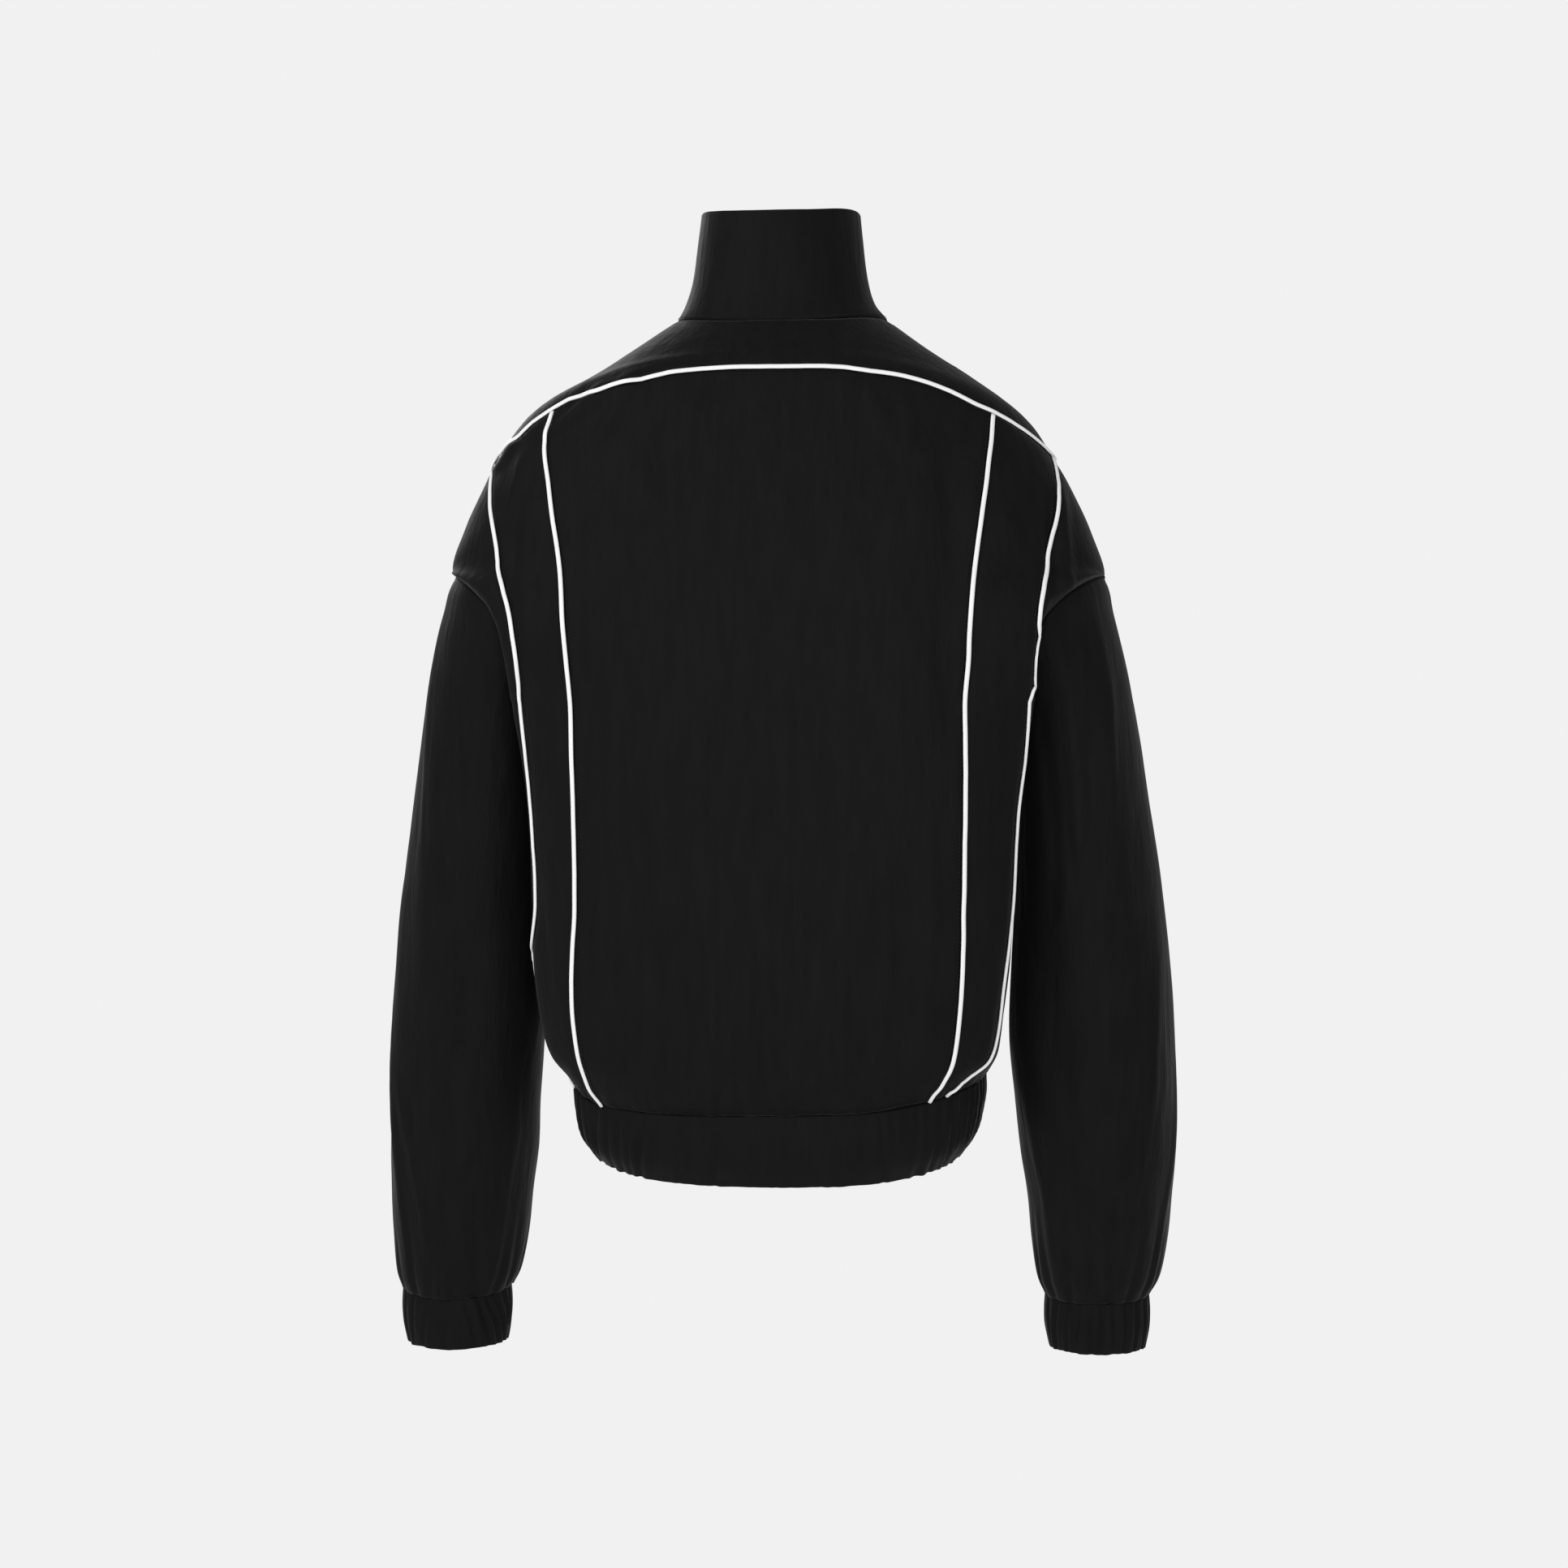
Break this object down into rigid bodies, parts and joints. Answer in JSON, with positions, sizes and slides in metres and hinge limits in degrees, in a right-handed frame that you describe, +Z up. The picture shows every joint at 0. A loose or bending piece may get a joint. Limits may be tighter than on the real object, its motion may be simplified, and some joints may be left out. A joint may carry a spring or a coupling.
{
  "type": "windbreaker",
  "caption": "Loose high-collared windbreaker with dropped shoulders, piped back seams, full sleeves and gathered elastic hem and cuffs, filled out as worn.",
  "frame": {"origin": "on the garment's middle plane, level with the side points of the collar seam, where the wearer's shoulders and neck hold it", "axes": "+Z up, +Y towards the back, -Y towards the zipped front, +X towards the wearer's left sleeve"},
  "size_m": [0.6191, 0.2484, 0.8866],
  "materials": {
    "shell_fabric": "matt crinkled nylon with a soft sheen",
    "band_fabric": "the same nylon gathered over elastic",
    "piping": "smooth white satin cord",
    "zip_tape": "woven herringbone tape",
    "zip_teeth": "moulded satin black",
    "zip_metal": "semi-gloss black enamel"
  },
  "bodies": {
    "jacket": {"back_centre": "shell_fabric", "back_side_left": "shell_fabric", "back_side_right": "shell_fabric", "side_left": "shell_fabric", "side_right": "shell_fabric", "yoke": "shell_fabric", "front_left": "shell_fabric", "front_right": "shell_fabric", "collar": "shell_fabric", "hem_band": "band_fabric", "sleeve_left": "shell_fabric", "sleeve_right": "shell_fabric", "cuff_left": "band_fabric", "cuff_right": "band_fabric", "piping_yoke": "piping", "piping_inner_left": "piping", "piping_inner_right": "piping", "piping_outer_left": "piping", "piping_outer_right": "piping", "zip_tape_left": "zip_tape", "zip_tape_right": "zip_tape", "zip_chain": "zip_teeth", "zip_slider": "zip_metal"},
    "pull": {"zip_pull": "zip_metal"}
  },
  "joints": [
    {"name": "pull_swing", "type": "hinge", "parent": "jacket", "child": "pull", "pos_m": [0.0018, -0.07994, 0.05066], "axis": [-1, 0, 0], "range_deg": [0, 165]}
  ]
}
